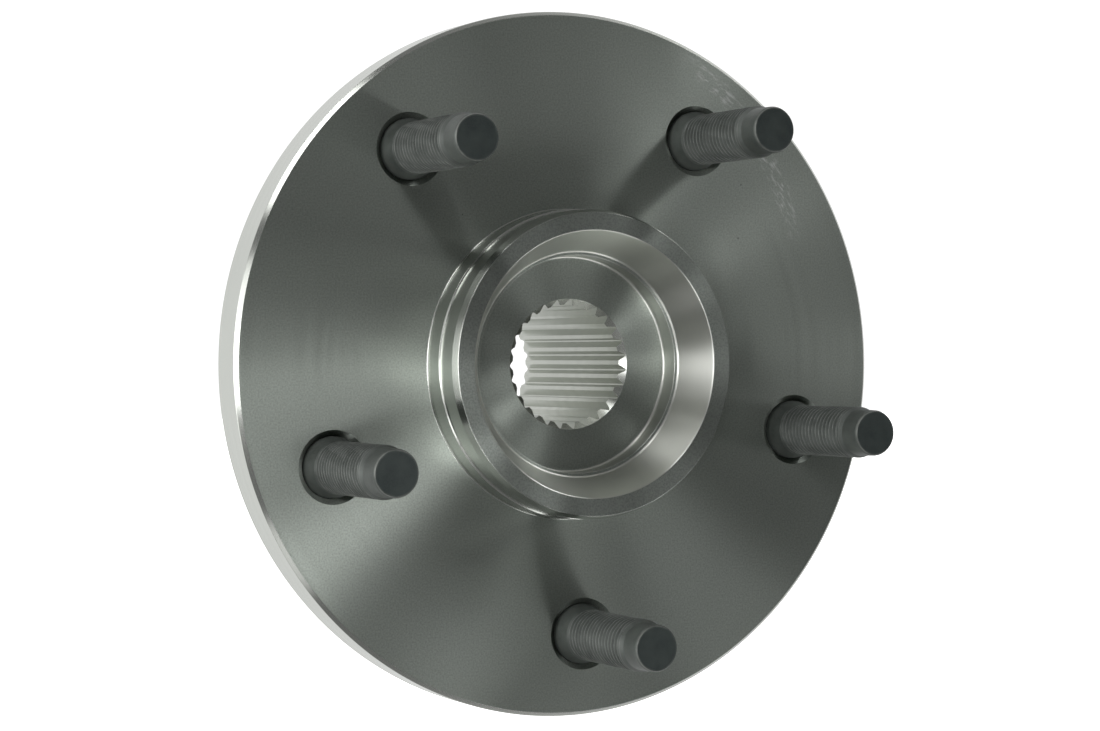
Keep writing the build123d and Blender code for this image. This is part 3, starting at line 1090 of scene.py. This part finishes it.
    def back_outline(self) -> Array:
        """Back of the flange, seal land, raceway, spindle and formed nose.

        Returns:
            Points as (radius, y), shape (n, 2).
        """
        angle = np.linspace(self.race_sweep, 0, 10)
        centre = (self.race_root + self.race_radius, self.race_centre)
        race = circled(centre, -self.race_radius, angle)
        front = outline(
            (self.brake_pilot + self.root_radius, self.flange_thickness, 0),
            (self.shoulder, self.flange_thickness, self.fillet),
            (self.shoulder, self.race_start, 0),
            steps=10,
        )
        rear = outline(
            (self.race_root, self.middle, 0),
            (self.spindle, self.middle, 0),
            (self.spindle, self.inner_ring_end, 0),
            (self.nose, self.inner_ring_end, 0.1 * MM),
            (self.nose, self.hub_end, 1.4 * MM),
            (self.spline_minor + self.end_chamfer + self.nose_margin, self.hub_end, 0),
            steps=6,
        )
        return np.concatenate([front, race[1:], rear])

    def build(self) -> bpy.types.Object:
        """Build the hub.

        Returns:
            The piece that stands for the CAD node hub_flange.
        """
        draft = MeshDraft()
        angles = even_angles(self.segments, self.stud_start - math.pi / self.holes)
        front = turned(self.front_outline(), angles)
        back = turned(self.back_outline(), angles)
        self.add_turned(draft, front)
        self.add_turned(draft, turned(self.rim_outline(), angles))
        self.add_turned(draft, back)
        self.add_face(draft, 0.0, self.countersink, Finish.FACED)
        self.add_face(draft, self.flange_thickness, self.hole_radius, Finish.FACED)
        self.add_holes(draft)
        out_edge, in_edge = self.add_bore(draft)
        zipped(draft, out_edge, front[0], Finish.FACED)
        zipped(draft, in_edge, back[-1], Finish.TURNED)
        return draft.piece("hub_forging", "hub", "hub_flange")


@dataclass
class WheelStud:
    """Pressed-in stud: head, knurl, collar, cone, rolled thread and dog point."""

    thread: float = 5.98 * MM
    pitch: float = 1.5 * MM
    thread_depth: float = 0.81 * MM
    thread_root: float = 0.25
    thread_flanks: float = 0.625
    thread_start_fade: float = 0.8
    thread_end_fade: float = 0.9
    collar: float = 7.0 * MM
    collar_depth: float = 1.5 * MM
    knurl: float = 7.13 * MM
    knurl_depth: float = 0.3 * MM
    knurl_teeth: int = 40
    knurl_fade: float = 0.8 * MM
    knurl_head_gap: float = 0.1 * MM
    knurl_collar_gap: float = 0.4 * MM
    cone_length: float = 2.9 * MM
    thread_end: float = 29.5 * MM
    point: float = 5.3 * MM
    point_cone: float = 0.15 * MM
    point_cone_length: float = 1.0 * MM
    point_chamfer: float = 0.3 * MM
    point_chamfer_length: float = 0.6 * MM
    sheared_rim: float = 0.9 * MM
    sheared_rim_depth: float = 0.05 * MM
    sheared_depth: float = 0.12 * MM
    length: float = 36.4 * MM
    head: float = 10.5 * MM
    head_thickness: float = 4.5 * MM
    head_chamfer: float = 0.9 * MM
    head_dish: float = 3.5 * MM
    head_dish_depth: float = 0.2 * MM
    flange_thickness: float = 12.1 * MM
    rows_per_turn: int = 12
    segments: int = 160

    def thread_rows(self, angles: Array) -> Array:
        """Radius and y of the threaded length.

        The thread's form is a clipped triangle wave of y over pitch plus angle over a turn. Shares of
        the pitch give its flat root, its flanks and the lengths over which its depth fades at both ends.

        Args:
            angles: Angles about the stud's axis, shape (m,).

        Returns:
            Array of (radius, y), shape (rows, m, 2).
        """
        length = self.thread_end - self.cone_length
        rows = int(length / self.pitch * self.rows_per_turn)
        y = -self.cone_length - length * np.linspace(0, 1, rows)[:, None]
        phase = ((y + self.cone_length) / self.pitch + angles / TAU) % 1
        wave = np.clip((1 - np.abs(2 * phase - 1) - self.thread_root) / self.thread_flanks, 0, 1)
        fade = np.clip((-self.cone_length - y) / (self.thread_start_fade * self.pitch), 0, 1)
        fade = fade * np.clip((y + self.thread_end) / (self.thread_end_fade * self.pitch), 0, 1)
        radius = self.thread - self.thread_depth * fade * (1 - wave)
        return np.stack([radius, y + 0 * angles], axis=-1)

    def knurl_rows(self, angles: Array) -> Array:
        """Radius and y of the knurl: a triangle wave of the angle, fading at both ends.

        Args:
            angles: Angles about the stud's axis, shape (m,).

        Returns:
            Array of (radius, y), shape (rows, m, 2).
        """
        first, last = self.flange_thickness - self.knurl_head_gap, self.collar_depth + self.knurl_collar_gap
        y = np.linspace(first, last, 8)[:, None]
        wave = np.abs((angles * self.knurl_teeth / TAU) % 1 * 2 - 1)
        edge = np.minimum(self.flange_thickness - y, y - self.collar_depth)
        radius = self.knurl - self.knurl_depth * wave * np.clip(edge / self.knurl_fade, 0, 1)
        return np.stack([radius, y + 0 * angles], axis=-1)

    def surface(self, spot: Spot) -> list[tuple[Array, Finish]]:
        """Grids of one stud, from the middle of its head to the middle of its end.

        Args:
            spot: The stud axis's place in X and Z.

        Returns:
            Grids with their finishes.
        """
        angles = even_angles(self.segments)
        head_end = self.flange_thickness + self.head_thickness
        head = outline(
            (0, head_end - self.head_dish_depth, 0),
            (self.head_dish, head_end, 1.0 * MM),
            (self.head - self.head_chamfer, head_end, 0.5 * MM),
            (self.head, head_end - self.head_chamfer, 0.5 * MM),
            (self.head, self.flange_thickness, 0.15 * MM),
            (self.knurl, self.flange_thickness, 0),
        )
        cone = outline(
            (self.collar, self.collar_depth, 0),
            (self.collar, 0, 0.25 * MM),
            (self.thread, -self.cone_length, 0),
        )
        tip = outline(
            (self.thread, -self.thread_end, 0),
            (self.point + self.point_cone, -self.thread_end - self.point_cone_length, 0.3 * MM),
            (self.point, -self.length + self.point_chamfer_length, 0.2 * MM),
            (self.point - self.point_chamfer, -self.length, 0.1 * MM),
        )
        end = outline(
            (self.point - self.point_chamfer, -self.length, 0),
            (self.point - self.sheared_rim, -self.length + self.sheared_rim_depth, 0.2 * MM),
            (0, -self.length + self.sheared_depth, 0),
        )
        head, cone, tip = (np.repeat(part[:, None], self.segments, axis=1) for part in (head, cone, tip))
        rows = np.concatenate([head, self.knurl_rows(angles), cone, self.thread_rows(angles), tip])
        shaft = around(rows[..., 0], rows[..., 1], angles, spot)
        return [(shaft, Finish.PHOSPHATE), (turned(end, angles, spot), Finish.STUD_END)]

    def build(self, index: int, angle: float, circle: float) -> bpy.types.Object:
        """Build one stud.

        Args:
            index: Number of the stud.
            angle: Its angle, from +X towards +Z.
            circle: Radius of the stud circle.

        Returns:
            The piece that stands for the CAD node of the stud.
        """
        draft = MeshDraft()
        for grid, finish in self.surface((circle * math.cos(angle), circle * math.sin(angle))):
            draft.grid(grid, finish)
        node = f"wheel_stud_{index + 1}"
        return draft.piece(f"stud_{index + 1}", "hub", node, crease=40.0)


@dataclass
class Housing:
    """Stationary outer ring: turned body with raceways, lobed mounting plate and tapped ears."""

    start: float = 15.0 * MM
    radius: float = 41.004 * MM
    chamfer: float = 1.0 * MM
    root: float = 3.0 * MM
    plate_start: float = 29.5125 * MM
    knuckle_face: float = 40.0125 * MM
    end: float = 52.0125 * MM
    pilot: float = 38.9 * MM
    pilot_chamfer: float = 1.2 * MM
    seal_bore: float = 35.004 * MM
    groove: float = 34.654 * MM
    land: float = 31.904 * MM
    race: float = 5.7785 * MM
    race_centre: float = 28.8755 * MM
    outboard_race: float = 24.402 * MM
    inboard_race: float = 42.110 * MM
    outboard_step: float = 18.95 * MM
    inboard_step: float = 47.5625 * MM
    lobe_root: float = 46.0 * MM
    ear_circle: float = 56.5 * MM
    ear_radius: float = 11.5 * MM
    boss_radius: float = 11.0 * MM
    boss_height: float = 1.5 * MM
    boss_edge: float = 0.3 * MM
    hole: float = 5.2 * MM
    hole_chamfer: float = 0.9 * MM
    thread_pitch: float = 1.75 * MM
    thread_depth: float = 0.7 * MM
    thread_steepness: float = 1.3
    thread_land: float = 0.15
    edge: float = 0.7 * MM
    step_chamfer: float = 0.35 * MM
    ears: int = 3
    first_ear: float = math.pi / 2
    ear_half: float = math.radians(36)
    segments: int = 360

    def plate_radius(self, angle: Array) -> Array:
        """Outline of the mounting plate over the angle from an ear's middle.

        It is the ear's circle in front, then its common tangent with the root circle (root radius over
        the cosine of the angle from the tangent's foot), then the root circle.

        Args:
            angle: Angles from an ear's middle, within half a step between ears.

        Returns:
            Radii, of the same shape.
        """
        steepest = 1.2
        away = np.abs(angle)
        foot = math.acos((self.lobe_root - self.ear_radius) / self.ear_circle)
        tangent_end = math.atan2(
            self.ear_radius * math.sin(foot), self.ear_circle + self.ear_radius * math.cos(foot)
        )
        inside = np.maximum(self.ear_radius**2 - (self.ear_circle * np.sin(away)) ** 2, 0)
        ear = self.ear_circle * np.cos(away) + np.sqrt(inside)
        tangent = self.lobe_root / np.cos(np.minimum(foot - away, steepest))
        return np.where(away < tangent_end, ear, np.where(away < foot, tangent, self.lobe_root))

    def add_plate(self, draft: MeshDraft) -> None:
        """Add the plate: bossed ears with holes, the webs between them and the rounded outline.

        Args:
            draft: Draft that gets the surfaces.
        """
        half_step = math.pi / self.ears
        ear_steps = round(self.segments * self.ear_half / math.pi)
        web_steps = round(self.segments * (half_step - self.ear_half) / math.pi)
        ear_angles = np.linspace(-self.ear_half, self.ear_half, ear_steps + 1)
        web_angles = np.linspace(self.ear_half, 2 * half_step - self.ear_half, web_steps + 1)
        web_away = half_step - np.abs(web_angles - half_step)
        share = np.linspace(0, 1, 13)[:, None]
        centre = np.array([self.ear_circle, 0.0])
        wide = self.hole + self.hole_chamfer
        ear_outer = self.plate_radius(ear_angles) - self.edge
        web_outer = self.plate_radius(web_away) - self.edge
        front_border = sector_loop(self.radius + self.root, ear_outer, self.ear_half, 12)
        back_border = sector_loop(self.pilot, ear_outer, self.ear_half, 12)
        circles = (wide, self.boss_radius - self.boss_edge, self.boss_radius, self.boss_radius)
        boss = holed_sector(front_border, centre, circles, 6)
        boss_front = self.plate_start - self.boss_height
        boss_y = np.full(len(boss), self.plate_start)
        boss_y[:2] = boss_front
        boss_y[2] = boss_front + self.boss_edge
        back = holed_sector(back_border, centre, (wide,), 6)
        ray = front_border - centre
        hole_angles = np.arctan2(ray[:, 1], ray[:, 0])
        back[0] = centre + wide * ray / np.linalg.norm(ray, axis=1)[:, None]
        for index in range(self.ears):
            turn = self.first_ear + index * TAU / self.ears
            grid = placed(boss, boss_y, turn)
            draft.grid(grid[:2], Finish.TURNED)
            draft.grid(grid[1:], Finish.FORGED)
            draft.grid(placed(back, self.knuckle_face, turn), Finish.TURNED)
            self.add_hole(draft, turn, hole_angles)
            for inner, y, finish in (
                (self.radius + self.root, self.plate_start, Finish.FORGED),
                (self.pilot, self.knuckle_face, Finish.TURNED),
            ):
                web = around(inner + (web_outer - inner) * share, y, web_angles + turn)
                draft.grid(web, finish, wrap=False)
            for angles, away in ((ear_angles, ear_angles), (web_angles, web_away)):
                self.add_outline(draft, angles + turn, self.plate_radius(away))

    def add_outline(self, draft: MeshDraft, angles: Array, outer: Array) -> None:
        """Add a stretch of the plate's outline, with rounded edges.

        Args:
            draft: Draft that gets the surface.
            angles: Angles of the stretch.
            outer: Radius of the outline at each angle.
        """
        quarter = np.linspace(0, math.pi / 2, 5)
        inset = np.concatenate([1 - np.sin(quarter), 1 - np.cos(quarter)]) * self.edge
        front = self.plate_start + (1 - np.cos(quarter)) * self.edge
        rear = self.knuckle_face - (1 - np.sin(quarter)) * self.edge
        y = np.concatenate([front, rear])[:, None]
        draft.grid(around(outer - inset[:, None], y, angles), Finish.FORGED, wrap=False)

    def add_hole(self, draft: MeshDraft, turn: float, hole_angles: Array) -> None:
        """Add a tapped hole: chamfers at both ends and a helical groove between them.

        The groove's depth follows a triangle wave of y over pitch plus angle over a turn, made steeper
        and clipped between its land and its full depth.

        Args:
            draft: Draft that gets the surface.
            turn: Angle of the ear.
            hole_angles: Angles of the hole's points about its own axis.
        """
        start, end = self.plate_start - self.boss_height, self.knuckle_face
        y = np.linspace(start + self.hole_chamfer, end - self.hole_chamfer, 61)[:, None]
        phase = (y / self.thread_pitch + hole_angles / TAU) % 1
        fade = np.clip(np.minimum(y - y[0], y[-1] - y) / self.thread_pitch, 0, 1)
        wave = self.thread_steepness * (1 - np.abs(2 * phase - 1)) - self.thread_land
        radius = self.hole + self.thread_depth * fade * np.clip(wave, 0, 1)
        wide = np.full((1, len(hole_angles)), self.hole + self.hole_chamfer)
        radius = np.concatenate([wide, radius, wide])
        x, z = self.ear_circle + radius * np.cos(hole_angles), radius * np.sin(hole_angles)
        rows = np.concatenate([[start], y[:, 0], [end]])
        draft.grid(placed(np.stack([x, z], axis=-1), rows, turn), Finish.TURNED)

    def raceway(self, centre_y: float, first: float, last: float) -> Array:
        """Arc of a raceway.

        Args:
            centre_y: The centre's place along the axis.
            first: Angle of the first point.
            last: Angle of the last point.

        Returns:
            Points as (radius, y), shape (n, 2).
        """
        return circled((self.race_centre, centre_y), self.race, np.linspace(first, last, 14))

    def build(self) -> bpy.types.Object:
        """Build the housing.

        Returns:
            The piece that stands for the CAD node bearing_housing.
        """
        draft = MeshDraft()
        angles = even_angles(self.segments, self.first_ear - self.ear_half)
        skin = outline(
            (self.radius - self.chamfer, self.start, 0),
            (self.radius, self.start + self.chamfer, 0.3 * MM),
            (self.radius, self.plate_start, self.root),
            (self.radius + self.root, self.plate_start, 0),
            steps=8,
        )
        seal_face = outline((self.seal_bore, self.start, 0), (self.radius - self.chamfer, self.start, 0))
        pilot = outline(
            (self.pilot, self.knuckle_face, 0),
            (self.pilot, self.end - self.pilot_chamfer, 0.3 * MM),
            (self.pilot - self.pilot_chamfer, self.end, 0.1 * MM),
            (self.seal_bore, self.end, 0.15 * MM),
            (self.seal_bore, self.inboard_step, 0),
            (self.groove, self.inboard_step - self.step_chamfer, 0),
        )
        sweep = math.acos((self.land - self.race_centre) / self.race)
        inboard = self.raceway(self.inboard_race, 0, -sweep)
        outboard = self.raceway(self.outboard_race, sweep, 0)
        step = self.outboard_step + self.step_chamfer
        joined = np.concatenate([pilot[-1:], inboard, outboard, [[self.groove, step]]])
        bore = outline(
            (self.groove, step, 0),
            (self.seal_bore, self.outboard_step, 0),
            (self.seal_bore, self.start, 0),
        )
        draft.grid(turned(seal_face, angles), Finish.TURNED)
        draft.grid(turned(skin, angles), Finish.FORGED)
        draft.grid(turned(pilot, angles), Finish.TURNED)
        draft.grid(turned(joined, angles), Finish.GROUND)
        draft.grid(turned(bore, angles), Finish.TURNED)
        self.add_plate(draft)
        return draft.piece("housing_piece", "housing", "bearing_housing")


# Studio


@dataclass(frozen=True)
class Softbox:
    """Round soft light far away, part of the surroundings.

    Its glow falls off from full at half its width to nothing at its edge.
    """

    azimuth: float
    elevation: float
    glow: float
    width: float = 11.0

    def add_to(self, graph: Graph, direction: Socket) -> Socket:
        """Add the light to the surroundings' shader.

        Args:
            graph: The surroundings' node graph.
            direction: Socket with the direction that is looked in.

        Returns:
            Socket with the light's radiance in that direction.
        """
        azimuth, elevation = math.radians(self.azimuth), math.radians(self.elevation)
        towards = (
            math.sin(azimuth) * math.cos(elevation),
            -math.cos(azimuth) * math.cos(elevation),
            math.sin(elevation),
        )
        product = graph.node("VectorMath", {0: direction, 1: towards}, operation="DOT_PRODUCT")
        edge = math.cos(math.radians(self.width))
        return graph.remap(product.outputs["Value"], (edge, (1 + edge) / 2), 0.0, self.glow)


@dataclass(frozen=True)
class NearLight:
    """Square soft light close to the object, aimed at its middle."""

    name: str
    place: tuple[float, float, float]
    power: float
    side: float = 0.05

    def build(self) -> None:
        """Put the light in the scene, where the camera doesn't see it."""
        data = bpy.data.lights.new(self.name, "AREA")
        data.shape = "SQUARE"
        data.size = self.side
        data.energy = self.power
        lamp = bpy.data.objects.new(self.name, data)
        lamp.visible_camera = False
        lamp.location = self.place
        lamp.rotation_euler = Vector(self.place).to_track_quat("Z", "Y").to_euler()
        bpy.context.scene.collection.objects.link(lamp)


@dataclass
class Studio:
    """Pale floor, white surroundings, softboxes and the photograph's camera."""

    camera_place: tuple[float, float, float] = (-0.282706, -0.563829, 0.001421)
    camera_forward: tuple[float, float, float] = (0.44191, 0.89706, -0.00277)
    lens: float = 88.05
    floor_size: float = 6.0
    floor_color: Color = (0.9, 0.9, 0.9)
    seen_white: float = 1.1
    behind: float = 0.87
    front: float = 0.148
    depth_range: Range = (0.05, 0.35)
    softboxes: tuple[Softbox, ...] = (
        Softbox(60, 30, 2.03),
        Softbox(66, 36, 5.15, 6.0),
        Softbox(75, 45, 2.83),
        Softbox(60, -30, 2.27),
        Softbox(45, -45, 1.67),
        Softbox(30, -60, 1.86),
        Softbox(18, -28, 0.26),
        Softbox(-6, -24, 1.59, 7.0),
        Softbox(-30, 15, 0.85),
        Softbox(-45, 0, 0.3),
        Softbox(-52, -3, 1.11, 7.0),
        Softbox(-52, 6, 1.93, 7.0),
        Softbox(-62, -3, 2.24, 7.0),
        Softbox(-62, 6, 2.4, 7.0),
        Softbox(-75, 0, 3.74),
        Softbox(-101, 0, 2.3, 24.0),
        Softbox(-110, -30, 0.41, 12.0),
        Softbox(-75, 15, 1.81),
        Softbox(-75, -45, 0.96),
        Softbox(-75, 45, 3.66),
        Softbox(-60, 60, 4.37),
    )
    near: tuple[NearLight, ...] = (
        NearLight("left_lamp", (-0.184, -0.213, -0.021), 0.0385),
        NearLight("left_lamp_low", (-0.175, -0.210, -0.072), 0.0131),
        NearLight("left_lamp_lowest", (-0.156, -0.205, -0.120), 0.0225),
        NearLight("front_lamp", (-0.043, -0.237, -0.039), 0.0124),
        NearLight("front_lamp_left", (-0.114, -0.233, -0.057), 0.0132),
        NearLight("front_lamp_low", (-0.020, -0.231, -0.090), 0.0185),
        NearLight("front_lamp_lowest", (-0.079, -0.223, -0.129), 0.0375),
    )

    def camera(self) -> None:
        """Make the camera at the photograph's place, looking level along its line of sight."""
        data = bpy.data.cameras.new("camera")
        data.lens = self.lens
        data.sensor_width = 36.0
        data.clip_start, data.clip_end = 0.01, 50.0
        made = bpy.data.objects.new("camera", data)
        bpy.context.scene.collection.objects.link(made)
        forward = Vector(self.camera_forward).normalized()
        right = forward.cross(Vector((0, 0, 1))).normalized()
        up = right.cross(forward)
        turn = Matrix((right, up, -forward)).transposed()
        made.matrix_world = Matrix.Translation(self.camera_place) @ turn.to_4x4()
        bpy.context.scene.camera = made

    def floor(self, height: float) -> None:
        """Make the floor: pale, lit to near white, and left out of the metal's reflections.

        It casts no shadow, because some of the lights stand lower than it.

        Args:
            height: Its level.
        """
        half = self.floor_size / 2
        mesh = bpy.data.meshes.new("floor")
        corners = [(-half, -half, height), (half, -half, height), (half, half, height), (-half, half, height)]
        mesh.from_pydata(corners, [], [(0, 1, 2, 3)])
        made = bpy.data.objects.new("floor", mesh)
        bpy.context.scene.collection.objects.link(made)
        pale, graph = new_material("pale_floor")
        shader = graph.node(
            "BsdfPrincipled",
            {
                "Base Color": rgba(self.floor_color),
                "Roughness": 0.9,
                "Emission Color": WHITE,
                "Emission Strength": 1.0,
            },
        )
        graph.node("OutputMaterial", {"Surface": shader.outputs[0]})
        mesh.materials.append(pale)
        made.visible_glossy = False
        made.visible_diffuse = False
        made.visible_shadow = False

    def world(self) -> None:
        """White surroundings: seen white, bright behind the object and dim in front of it."""
        world = bpy.data.worlds.new("studio")
        bpy.context.scene.world = world
        world.use_nodes = True
        world.node_tree.nodes.clear()
        graph = Graph(world.node_tree)
        direction = graph.node("TexCoord").outputs["Generated"]
        depth = graph.node("SeparateXYZ", {0: direction}).outputs[1]
        glow = graph.remap(depth, self.depth_range, self.front, self.behind)
        for softbox in self.softboxes:
            glow = graph.math("ADD", glow, softbox.add_to(graph, direction))
        seen = graph.node("LightPath").outputs["Is Camera Ray"]
        strength = graph.math("MAXIMUM", glow, graph.math("MULTIPLY", seen, self.seen_white))
        background = graph.node("Background", {"Color": WHITE, "Strength": strength})
        graph.node("OutputWorld", {"Surface": background.outputs[0]})

    def build(self) -> None:
        """Build the whole studio around the object."""
        self.camera()
        self.floor(CAD_BOX[0].z)
        self.world()
        for light in self.near:
            light.build()
        bpy.context.scene.view_settings.view_transform = "Standard"
        bpy.context.scene.view_settings.look = "None"


def dress_cad_nodes() -> None:
    """Give every CAD node its finish, also those that a piece stands for."""
    finishes = {
        "bearing_housing": Finish.FORGED,
        "inner_ring": Finish.GROUND,
        "cage": Finish.POLYMER,
        "ball": Finish.LAPPED,
        "seal_case": Finish.SHEET,
        "slinger": Finish.SHEET,
        "seal_lip": Finish.RUBBER,
        "hub_flange": Finish.FACED,
        "wheel_stud": Finish.PHOSPHATE,
    }
    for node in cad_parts:
        for part, finish in finishes.items():
            if part in node:
                dress_node(node, finish)


def main() -> None:
    """Build every piece and the studio."""
    logging.basicConfig(level=logging.INFO, format="%(name)s %(message)s")
    dress_cad_nodes()
    hub = HubForging()
    hub.build()
    stud = WheelStud()
    for index in range(hub.holes):
        stud.build(index, hub.stud_angle(index), hub.stud_circle)
    Housing().build()
    Studio().build()


if __name__ == "__main__":
    main()
